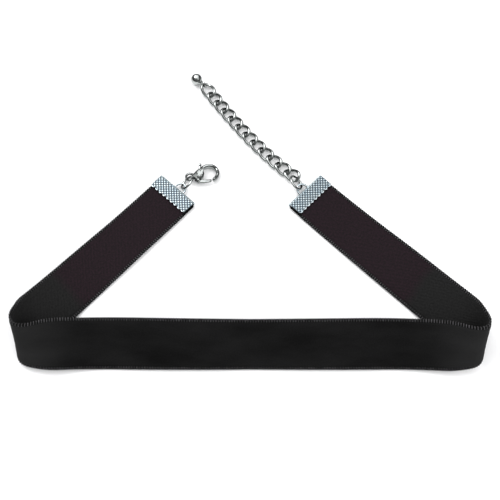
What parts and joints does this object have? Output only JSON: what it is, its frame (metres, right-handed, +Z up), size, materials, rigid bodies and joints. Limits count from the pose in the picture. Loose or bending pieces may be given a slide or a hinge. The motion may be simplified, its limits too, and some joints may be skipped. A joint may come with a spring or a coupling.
{
  "type": "velvet ribbon choker necklace",
  "caption": "Flat velvet ribbon choker lying open, with folded metal ribbon ends, a lobster clasp with a sprung lever, and an extender chain ending in a ball drop.",
  "frame": {"origin": "middle of the footprint, on the surface it lies on", "axes": "+X along the front band to the right as seen from the front, +Y from the front band towards the clasp, +Z up off the surface"},
  "size_m": [0.1516, 0.1138, 0.0171],
  "materials": {
    "velvet": "black velvet pile with a woven edge",
    "knurled_metal": "silver-plated sheet, pressed with rows of dimples",
    "polished_metal": "polished silver plating"
  },
  "bodies": {
    "choker": {"ribbon": "velvet", "left_clamp": "knurled_metal", "right_clamp": "knurled_metal", "clasp_ring": "polished_metal", "clasp_body": "polished_metal", "chain_ring": "polished_metal", "chain_link_01": "polished_metal", "chain_link_02": "polished_metal", "chain_link_03": "polished_metal", "chain_link_04": "polished_metal", "chain_link_05": "polished_metal", "chain_link_06": "polished_metal", "chain_link_07": "polished_metal", "chain_link_08": "polished_metal", "chain_link_09": "polished_metal", "chain_link_10": "polished_metal", "chain_link_11": "polished_metal", "chain_link_12": "polished_metal", "end_ball": "polished_metal"},
    "lever": {"clasp_lever": "polished_metal"}
  },
  "joints": [
    {"name": "lever_pivot", "type": "hinge", "parent": "choker", "child": "lever", "pos_m": [-0.01801, 0.01258, 0.00177], "axis": [0.08, 0.0176, 0.9966], "range_deg": [0, 22], "stiffness_Nm_per_rad": 0.008, "springref_deg": -5.73}
  ]
}
